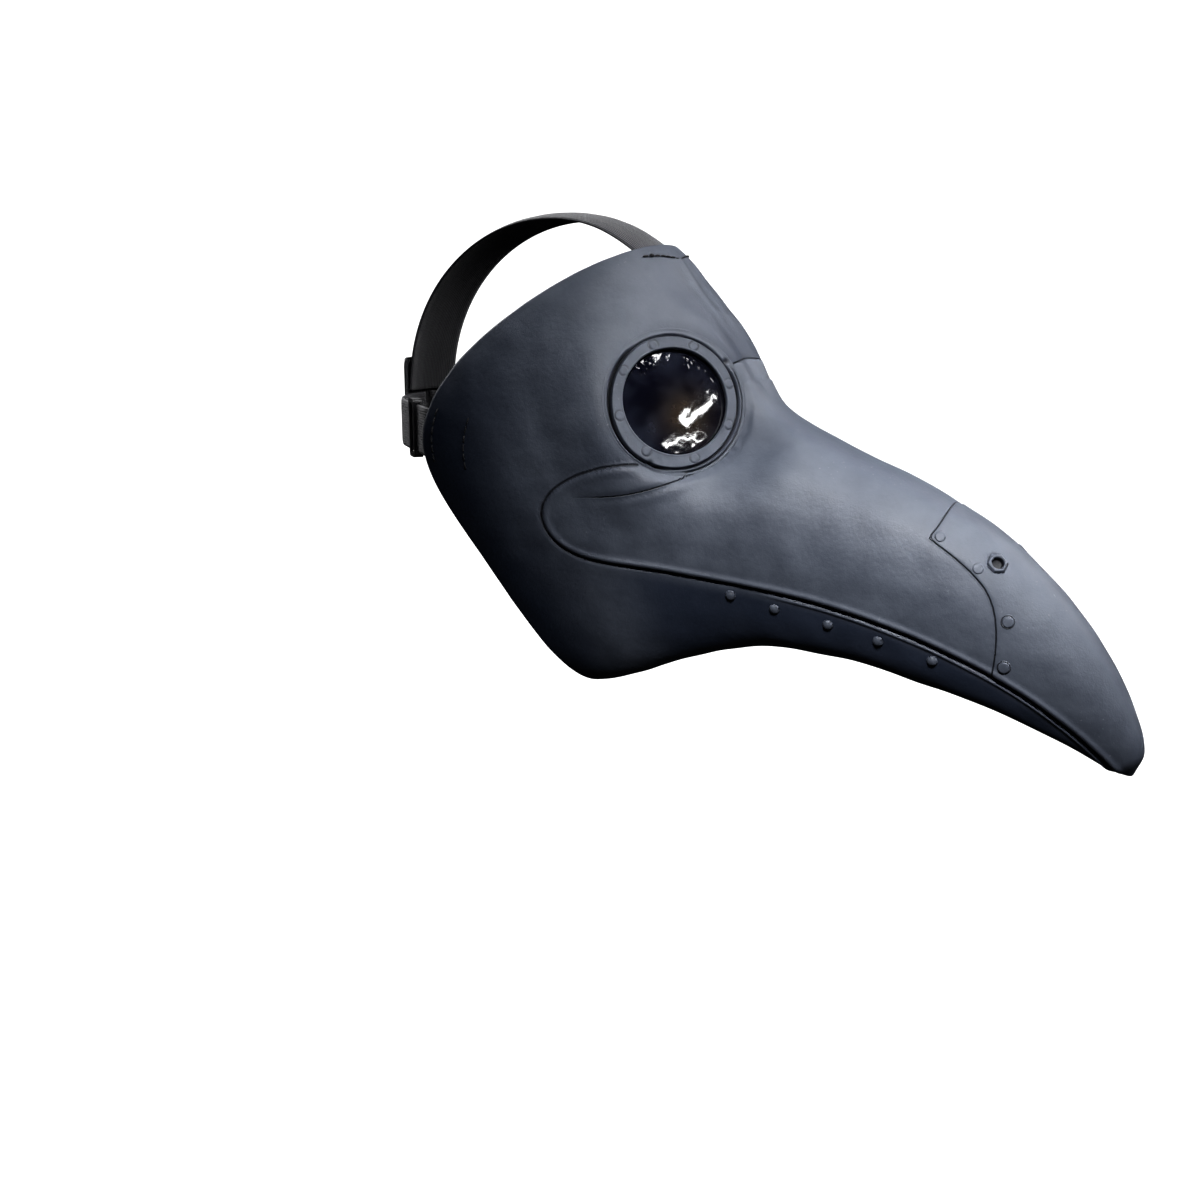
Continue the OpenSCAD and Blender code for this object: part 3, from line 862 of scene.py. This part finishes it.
def buildLens(p, name, node, mirror, seed):
    rings, spokes = 84, 240
    r, a = np.meshgrid(np.linspace(0.3, p["radius"], rings), turnsOf(spokes), indexing="ij")
    front = np.stack([r * np.cos(a), r * np.sin(a), 0 * a], -1)
    front[..., 2] = filmHeight(p, front.copy(), r, a, seed)
    depth = np.array([0, 0, p["thickness"]])
    middle = np.array([[0, 0, front[0, :, 2].mean()]])
    points = np.concatenate([front.reshape(-1, 3), (front - depth).reshape(-1, 3), middle, middle - depth])
    count = rings * spokes
    flip = mirror > 0
    faces = gridFaces(rings, spokes, 0, flip=flip) + gridFaces(rings, spokes, count, flip=not flip)
    outerRow = (rings - 1) * spokes
    for j in range(spokes):
        k = (j + 1) % spokes
        cap = [(j, k, 2 * count), (count + k, count + j, 2 * count + 1),
               (outerRow + k, outerRow + j, count + outerRow + j, count + outerRow + k)]
        faces += cap if flip else [c[::-1] for c in cap]
    lens = makePiece(name, gogglePoints(points, mirror), faces, "mask", [node], lensFilm)
    spotX, spotY = p["amberSpot"]
    addField(lens, "amberPart", bump(np.hypot(points[:, 0] - spotX, points[:, 1] - spotY) / p["amberSize"]))


buildLens(lensDish, "lensFilmRight", "right_lens", 1, 31)
buildLens(lensDish, "lensFilmLeft", "left_lens", -1, 41)

beadRope = {"radius": 30.8, "half": 1.9, "height": 1.25, "floor": -2.3}


def buildBead(p, name, node, mirror, seed):
    spokes, sides = 220, 14
    a, b = np.meshgrid(turnsOf(spokes), np.linspace(0, math.pi, sides), indexing="ij")
    ring = np.stack([30 * np.cos(a), 30 * np.sin(a), 0 * a], -1)
    swell = 1 + 0.10 * softWaves(ring, 12, 6, seed) + 0.06 * softWaves(ring, 4, 6, seed + 1)
    r = p["radius"] + p["half"] * swell * np.cos(b)
    z = p["floor"] - p["height"] * swell * np.sin(b)
    local = np.stack([r * np.cos(a), r * np.sin(a), z], -1)
    points = gogglePoints(local, mirror).reshape(-1, 3)
    # rows run round the ring, so the last row joins the first
    faces = []
    for i in range(spokes):
        n = (i + 1) % spokes
        for j in range(sides):
            k = (j + 1) % sides
            quad = (i * sides + j, n * sides + j, n * sides + k, i * sides + k)
            faces.append(quad if mirror > 0 else quad[::-1])
    makePiece(name, points, faces, "mask", [node], glueBead)


buildBead(beadRope, "lensGlueRight", "right_lens_bead", 1, 51)
buildBead(beadRope, "lensGlueLeft", "left_lens_bead", -1, 61)
print("lenses ready")

# spots as (u, v), and each head's profile as radius and height from its edge inward
raisedHeads = {
    "tipPlateRivets": {
        "spots": [(6.7, 1.85), (7.2, 2.05), (7.75, 2.8), (7.95, 4.25)],
        "profile": [(3.5, -0.6), (3.15, -0.1), (2.95, 0.02), (2.75, -0.12), (2.62, 0.1), (2.5, 0.5),
                    (2.2, 0.72), (1.5, 0.8), (0.7, 0.84), (0.05, 0.85)],
        "lift": 1.95,
    },
    "jawRivets": {
        "spots": [(4.3, 5.32), (5, 5.46), (5.75, 5.56), (6.4, 5.6), (7.1, 5.58)],
        "profile": [(2.9, -0.9), (2.7, 0.0), (2.5, 0.7), (2.0, 1.3), (1.2, 1.7), (0.5, 1.82), (0.05, 1.85)],
        "lift": -0.15,
    },
}
headBend = 0.02  # follows the curve of the beak
headSpokes = 40


def skinFrame(u, v, lift):
    p, n = skinPoint(u, v)
    side = unit(np.cross([0, 0, 1], n))
    return p + n * lift, side, np.cross(n, side), n


def turnedHead(profile, place, mirror, seed):
    origin, side, up, out = place
    r, a = np.meshgrid(profile[:, 0], turnsOf(headSpokes), indexing="ij")
    x, y = r * np.cos(a), r * np.sin(a)
    z = profile[:, 1:2] - headBend * (x * x) / 2
    local = np.stack([x, y, z], -1)
    local[..., 2] += 0.07 * softWaves(local, 4, 5, seed)
    points = origin + local[..., :1] * side + local[..., 1:2] * up + local[..., 2:] * out
    return points.reshape(-1, 3) * [mirror, 1, 1], gridFaces(len(profile), headSpokes, flip=mirror > 0)


def joinedPiece(name, parts, body, nodes, material):
    points, faces, first = [], [], 0
    for p, f in parts:
        points.append(p)
        faces += [tuple(i + first for i in face) for face in f]
        first += len(p)
    return makePiece(name, np.concatenate(points), faces, body, nodes, material)


def buildRivets(name, p):
    profile = roundCorners(p["profile"], 3)
    parts = []
    for mirror in (1, -1):
        for i, (u, v) in enumerate(p["spots"]):
            parts.append(turnedHead(profile, skinFrame(u, v, p["lift"]), mirror, 70 + i))
    rivets = joinedPiece(name, parts, "mask", (), plainLatex)
    # painted shade round the foot of each head
    outline = 0.85 * bump((profile[:, 0] - 2.9) / 0.28)
    addField(rivets, "creaseShade", np.tile(np.repeat(outline, headSpokes), len(parts)))


for name, heads in raisedHeads.items():
    buildRivets(name, heads)

nutForm = {
    # radius, height, and how far the ring is six-sided
    "rings": [(5.5, -0.8, 1), (5.0, 0.0, 1), (4.8, 0.75, 1), (4.4, 1.1, 1), (3.9, 1.2, 0.6),
              (3.4, 1.18, 0), (3.0, 1.0, 0), (2.75, 0.6, 0), (2.65, -0.3, 0), (2.6, -1.3, 0),
              (2.0, -1.7, 0), (0.05, -1.75, 0)],
    "lift": 1.85,
}


def buildHexagon(p):
    # six-sided boss with a round hole, all moulded soft
    spokes = 96
    turns = turnsOf(spokes)
    corner = math.pi / 3
    hexEdge = math.cos(corner / 2) / np.cos((turns % corner) - corner / 2)
    r, z, six = roundCorners(p["rings"], 3).T[..., None]
    reach = r * (1 + six * (hexEdge - 1))
    origin, side, up, out = skinFrame(*nutSpot, p["lift"])
    ring = np.cos(turns)[:, None] * side + np.sin(turns)[:, None] * up
    points = (origin + reach[..., None] * ring + z[..., None] * out).reshape(-1, 3)
    parts = [(points * [m, 1, 1], gridFaces(len(r), spokes, flip=m > 0)) for m in (1, -1)]
    nut = joinedPiece("beakHexagon", parts, "mask", (), plainLatex)
    # painted shade in the hole and round the boss's foot
    dark = np.maximum(smoothStep((3.0 - r[:, 0]) / 0.4), 0.7 * bump((r[:, 0] - 5.3) / 0.25))
    addField(nut, "creaseShade", np.tile(np.repeat(dark, spokes), len(parts)))


buildHexagon(nutForm)
print("rivets and hexagons ready")


def pathLengths(line):
    return np.concatenate([[0], np.cumsum(np.linalg.norm(np.diff(line, axis=0), axis=1))])


# cloth with thickness, rounded edges and a flat UV in millimetres
def buildBand(name, net, thickness, body, nodes, material):
    # net: rows along the band, columns across it, on the middle of the cloth
    rows, columns = net.shape[:2]
    n = unit(np.cross(np.gradient(net, axis=0), np.gradient(net, axis=1)))
    half = np.full(columns, thickness / 2)
    half[[0, -1]] *= 0.45
    half[[1, -2]] *= 0.88
    top = net + n * half[None, :, None]
    low = net - n * half[None, :, None]
    loop = np.concatenate([top, low[:, ::-1]], 1)
    size = loop.shape[1]
    faces = gridFaces(rows, size, flip=True) + endFaces(rows, size, flip=True)
    band = makePiece(name, loop.reshape(-1, 3), faces, body, nodes, material)
    lengths = pathLengths(net[:, columns // 2])
    widths = pathLengths(net[rows // 2])
    across = np.concatenate([widths, widths[::-1]])
    addUv(band, np.stack(np.broadcast_arrays(across[None, :], lengths[:, None]), -1).reshape(-1, 2))
    return band, float(lengths[-1]), float(widths[-1])


def denseNet(control, steps, columns):
    # smooth along the control rows and straight or curved across them
    control = np.asarray(control, float)
    net = np.stack([roundCorners(control[:, j], steps) for j in range(control.shape[1])], 1)
    at, known = np.linspace(0, net.shape[1] - 1, columns), np.arange(net.shape[1])
    return np.stack([[np.interp(at, known, row[:, k]) for k in range(3)] for row in net]).transpose(0, 2, 1)


harness = {
    "head": (77.5, 97.5, 93.0),  # half sizes of the head that the elastic goes round
    "strapThickness": 1.5,
    "gap": 0.5,
    "topWidth": 40.0,
    "topAcross": 57.0,  # millimetres for each step of v where the crown strap starts
    "topColumns": [-1, -0.65, -0.3, 0, 0.3, 0.65, 1],
    "topStart": (1.4, 0.7, 0.0),
    "topAngles": list(range(70, 169, 14)) + [181.5],
    "sideWidth": 25.0,
    "sideAcross": 38.0,
    "sideCentre": 3.95,
    "sideHeight": -16.5,
    "sideStart": (1.1, 0.55, 0.02),
    "sideAngles": (57, 67, 77, 88),
    "runStart": (-82.0, 33.0),  # the straight stretch that the slider moves on
    "runStep": (8.0, 10.0),
}
underMask = maskForm["wall"] + harness["gap"] + harness["strapThickness"] / 2


def onHead(x, angle):
    hx, hy, hz = harness["head"]
    q = math.sqrt(1 - (x / hx) ** 2)
    a = math.radians(angle)
    return (x, -hy * q * math.cos(a), hz * q * math.sin(a))


def buildTopStrap(p):
    control = []
    for u in p["topStart"]:
        row = [1e-6 - f * p["topWidth"] / p["topAcross"] for f in p["topColumns"]]
        control.append([skinPoint(u, v, underMask)[0] for v in row])
    for angle in p["topAngles"]:
        control.append([onHead(f * p["topWidth"] / 2, angle) for f in p["topColumns"]])
    net = denseNet(control, 16, 25)
    strap, length, width = buildBand(
        "crownStrap", net, p["strapThickness"], None, (), elasticWeave)
    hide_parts("top_strap")
    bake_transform(strap)
    return length, width


def sideControl(p):
    heights = (-0.5, 0, 0.5)
    control = []
    for u in p["sideStart"]:
        row = [p["sideCentre"] - f * p["sideWidth"] / p["sideAcross"] for f in heights]
        control.append([skinPoint(u, v, underMask)[0] for v in row])
    (startX, startY), (stepX, stepY) = p["runStart"], p["runStep"]
    places = [(startX + (k + 0.25) * stepX, startY + (k + 0.25) * stepY) for k in range(5)]
    for angle in p["sideAngles"]:
        a = math.radians(angle)
        places.append((-p["head"][0] * math.cos(a), p["head"][1] * math.sin(a)))
    for x, y in places:
        control.append([(x, y, p["sideHeight"] + f * p["sideWidth"]) for f in heights])
    return np.array(control, float)


def buildSideStrap(p, name, node, mirror):
    net = denseNet(sideControl(p), 14, 17) * [mirror, 1, 1]
    if mirror < 0:
        net = net[:, ::-1]  # keeps the cloth's outer side outside
    strap, length, width = buildBand(name, net, p["strapThickness"], None, (), elasticWeave)
    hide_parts(node)
    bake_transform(strap)
    return length, width


topSize = buildTopStrap(harness)
rightSize = buildSideStrap(harness, "sideStrapRight", "right_side_strap", 1)
leftSize = buildSideStrap(harness, "sideStrapLeft", "left_side_strap", -1)
print("straps, length and width in mm:", [[round(x, 1) for x in s] for s in (topSize, rightSize, leftSize)])

lining = {"thickness": 1.0, "ripple": 0.12, "cutShare": 0.97}
# under the strap end, with 0.8 mm to spare
liningDepth = maskForm["wall"] + harness["gap"] + harness["strapThickness"] + 0.8 + lining["thickness"] / 2


def buildLining(p, name, node, u0, u1, v0, v1):
    u, v = np.meshgrid(np.linspace(u0, u1, 30), np.linspace(v0, v1, 46), indexing="ij")
    net, n = skinPoint(u, v, liningDepth)
    net = net + p["ripple"] * softWaves(net, 9, 6, 80)[..., None] * n
    if v1 < 0:
        net = net[:, ::-1]
    patch, length, width = buildBand(name, net, p["thickness"], "mask", [node], liningWeave)
    return width, length


liningSizes = [
    buildLining(lining, "foreheadLining", "forehead_patch", 0.15, 1.5, -0.9, 0.9),
    buildLining(lining, "templeLiningRight", "right_temple_patch", 0.15, 1.25, 3.5, 4.4),
    buildLining(lining, "templeLiningLeft", "left_temple_patch", 0.15, 1.25, -4.4, -3.5),
]
print("linings:", [[round(x, 1) for x in s] for s in liningSizes])


def rearY(x, depth):
    hx, hy = harness["head"][0] + depth, harness["head"][1] + depth
    return hy * np.sqrt(1 - (x / hx) ** 2)


rearPatch = {
    "width": 46.0,
    "height": 47.0,
    "thickness": 1.3,
    "z": -7.5,
    "in": 1.05,        # how far it stands off the head's surface
    "corner": 5.0,
    "stitchInset": 3.5,
    "stitchDip": 0.25,
    "hemWidth": 4.5,
    "hemRise": 0.12,
    "cutShare": 0.95,
}


def buildRearPatch(p):
    # square net pulled in at the corners so that they come out round
    steps = np.linspace(-1, 1, 61)
    s, t = np.meshgrid(steps, steps, indexing="ij")
    halfW, halfH, corner = p["width"] / 2, p["height"] / 2, p["corner"]
    x, z = t * halfW, s * halfH
    ex, ez = np.abs(x) - (halfW - corner), np.abs(z) - (halfH - corner)
    both = (ex > 0) & (ez > 0)
    squeeze = np.maximum(ex, ez) / np.maximum(np.hypot(ex, ez), 1e-6)
    x = np.where(both, np.sign(x) * (halfW - corner + ex * squeeze), x)
    z = np.where(both, np.sign(z) * (halfH - corner + ez * squeeze), z)
    y = rearY(x, p["in"] + p["thickness"] / 2)
    # pressed in a little along the stitch rows, folded hem all round
    fromEdge = np.minimum(halfW - np.abs(x), halfH - np.abs(z))
    y = y - p["stitchDip"] * bump((fromEdge - p["stitchInset"]) / 0.8)
    y = y + p["hemRise"] * smoothStep((p["hemWidth"] - fromEdge) / 1.5)
    net = np.stack([x, y, z + p["z"]], -1)
    patch, length, width = buildBand(
        "rearPatchWebbing", net, p["thickness"], "rear_band", ["rear_patch"], webbingWeave)
    return width, length


rearSize = buildRearPatch(rearPatch)
print("rear patch:", [round(x, 1) for x in rearSize])


threadForm = {"radius": 0.42, "sink": 0.25, "rise": 0.35, "steps": 9, "sides": 8}


def stitch(a, b, normal, p=threadForm):
    # one loop of thread that comes up at a and goes down at b
    t = np.linspace(0, 1, p["steps"])
    lift = (p["rise"] + p["sink"]) * np.sin(math.pi * t) ** 0.5 - p["sink"]
    line = a + (b - a) * t[:, None] + normal * lift[:, None]
    along = unit(np.gradient(line, axis=0))
    side = unit(np.cross(along, normal))
    up = np.cross(side, along)
    turns = turnsOf(p["sides"])
    size = p["radius"] * (0.55 + 0.45 * np.sin(math.pi * t) ** 0.4)
    ring = np.cos(turns)[None, :, None] * side[:, None] + np.sin(turns)[None, :, None] * up[:, None]
    points = line[:, None] + size[:, None, None] * ring
    faces = gridFaces(p["steps"], p["sides"]) + endFaces(p["steps"], p["sides"])
    return points.reshape(-1, 3), faces


def knot(centre, radius, seed):
    # a small lumpy ball of thread
    rings, spokes = 12, 18
    a, b = np.meshgrid(np.linspace(0.05, math.pi - 0.05, rings), turnsOf(spokes), indexing="ij")
    ball = np.stack([np.sin(a) * np.cos(b), np.sin(a) * np.sin(b), 0.8 * np.cos(a)], -1)
    ball *= radius * (1 + 0.16 * softWaves(ball * 10, 7, 6, seed))[..., None]
    return (ball + centre).reshape(-1, 3), gridFaces(rings, spokes) + endFaces(rings, spokes)


def skinStitch(u0, v0, u1, v1, lift):
    (a, n), (b, _) = skinPoint(u0, v0), skinPoint(u1, v1)
    return stitch(a + n * lift, b + n * lift, n)


def threadPiece(name, node, parts, body):
    piece = joinedPiece(name, parts, body, [node], sewingThread)
    place = np.array([v.co for v in piece.data.vertices]) / mm
    addUv(piece, place[:, :2] + place[:, 2:])


def foreheadRow(v):
    return 0.95 - 0.5 * min(abs(v), 1.0)


def sewForehead(step=0.115):
    parts = []
    for i in range(-7, 7):
        v0, v1 = i * step + 0.01, (i + 0.84) * step + 0.01
        parts.append(skinStitch(foreheadRow(v0), v0, foreheadRow(v1), v1, 0.25))
    place, normal = skinPoint(foreheadRow(0.64), 0.64)
    parts.append(knot(place + normal * 0.6, 1.1, 91))
    threadPiece("foreheadThread", "forehead_stitching", parts, "mask")


def sewTemple(name, node, sign):
    # two upright rows, across the strap's end
    parts = []
    for u in (0.25, 0.95):
        for i in range(6):
            v = harness["sideCentre"] + (i - 2.5) * 0.12
            parts.append(skinStitch(u, sign * (v - 0.05), u, sign * (v + 0.05), 0.15))
    threadPiece(name, node, parts, "mask")


def rearStitch(x0, z0, x1, z1):
    depth = rearPatch["in"] + rearPatch["thickness"] - 0.1
    a = np.array([x0, rearY(x0, depth), z0])
    b = np.array([x1, rearY(x1, depth), z1])
    # square to the head's curve
    n = np.array([(x0 + x1) / 2 / 78**2, 1 / 98, 0])
    return stitch(a, b, unit(n))


def sewRearPatch():
    parts = []
    for z in (-27.5, -1.5, 12.5):
        for i in range(-5, 5):
            parts.append(rearStitch(i * 3.8 + 0.3, z, i * 3.8 + 3.4, z))
    for x in (-19.5, 19.5):
        for i in range(10):
            parts.append(rearStitch(x, -27.2 + i * 4.0, x, -27.2 + i * 4.0 + 3.3))
    threadPiece("rearThread", "rear_stitching", parts, "rear_band")


sewForehead()
sewTemple("templeThreadRight", "right_temple_stitching", 1)
sewTemple("templeThreadLeft", "left_temple_stitching", -1)
sewRearPatch()
print("thread ready")

for name in ("right_slider", "left_slider"):
    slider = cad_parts[name]
    slider.data.materials.clear()
    slider.data.materials.append(sliderPlastic)


# floor and sky look white, but throw little light back up
eyeAim = (-0.042, -0.087, 0.0)
studio = {
    "floorHeight": -0.26,
    "floorReach": 30.0,
    "floorSeen": 0.955,
    "floorThrown": 0.02,
    "skySeen": (1.0, 1.0, 1.0),
    "skyThrown": (0.001, 0.004, 0.016),
    "aim": (0, -0.12, -0.05),
    "lights": {
        "key": {"place": (-0.03, -0.58, 0.95), "size": (0.5, 0.5), "power": 8.6},
        "front": {"place": (0.15, -1.3, 0.7), "size": (0.6, 0.5), "power": 5.5},
        "cheek": {"place": (-0.52, -0.40, 0.45), "size": (0.16, 0.16), "power": 0.50, "spread": 40,
                  "aim": (-0.02, -0.205, -0.065)},
        # thin strips that show as the streaks on the lens
        "streakOne": {"place": (-0.27, -0.83, 0.345), "size": (0.18, 0.036), "power": 0.45,
                      "along": (0.9, -0.15, 0.43), "aim": eyeAim},
        "streakTwo": {"place": (-0.36, -0.83, 0.235), "size": (0.19, 0.015), "power": 0.22,
                      "along": (0.9, -0.4, 0.06), "aim": eyeAim},
        "streakTop": {"place": (-0.35, -0.65, 0.565), "size": (0.050, 0.018), "power": 0.06,
                      "along": (0.9, -0.3, 0.27), "aim": eyeAim},
        "far": {"place": (1.1, -0.9, 0.9), "size": (0.8, 0.8), "power": 11},
        "back": {"place": (0.5, 1.4, 0.9), "size": (1.2, 1.2), "power": 32},
    },
}


def floorMaterial(p):
    material, tree, pale = newMaterial("paleFloor")
    seen = addNode(tree, "ShaderNodeLightPath").outputs["Is Camera Ray"]
    thrown, glow = (p["floorThrown"],) * 3, (p["floorSeen"],) * 3
    plug(tree, pale, {"Base Color": mixColour(tree, seen, thrown, (0.06,) * 3),
                      "Emission Color": mixColour(tree, seen, (0.0,) * 3, glow),
                      "Emission Strength": 1.0, "Roughness": 1.0, "Specular IOR Level": 0.0})
    return material


def makeFloor(p):
    mesh = bpy.data.meshes.new("studioFloor")
    s, h = p["floorReach"], p["floorHeight"]
    mesh.from_pydata([(-s, -s, h), (s, -s, h), (s, s, h), (-s, s, h)], [], [(0, 1, 2, 3)])
    mesh.materials.append(floorMaterial(p))
    floor = bpy.data.objects.new("studioFloor", mesh)
    bpy.context.collection.objects.link(floor)


def areaLight(name, p, target):
    data = bpy.data.lights.new(name, "AREA")
    data.shape = "RECTANGLE"
    data.size, data.size_y = p["size"]
    data.energy = p["power"]
    data.spread = math.radians(p.get("spread", 180))
    light = bpy.data.objects.new(name, data)
    light.location = p["place"]
    light.visible_camera = False
    aim = Vector(p.get("aim", target)) - Vector(p["place"])
    light.rotation_euler = aim.to_track_quat("-Z", "Y").to_euler()
    if "along" in p:
        # the long side turned to lie along this direction
        out = -aim.normalized()
        up = out.cross(Vector(p["along"])).normalized()
        light.rotation_euler = Matrix((up.cross(out), up, out)).transposed().to_euler()
    bpy.context.collection.objects.link(light)


def makeSky(p):
    world = bpy.data.worlds.new("whiteSky")
    bpy.context.scene.world = world
    world.use_nodes = True
    tree = world.node_tree
    seen = addNode(tree, "ShaderNodeLightPath").outputs["Is Camera Ray"]
    plug(tree, tree.nodes["Background"], {"Color": mixColour(tree, seen, p["skyThrown"], p["skySeen"])})


makeFloor(studio)
for name, light in studio["lights"].items():
    areaLight(name + "Light", light, studio["aim"])
makeSky(studio)
bpy.context.scene.view_settings.view_transform = "Standard"
bpy.context.scene.view_settings.look = "High Contrast"
print("studio ready")
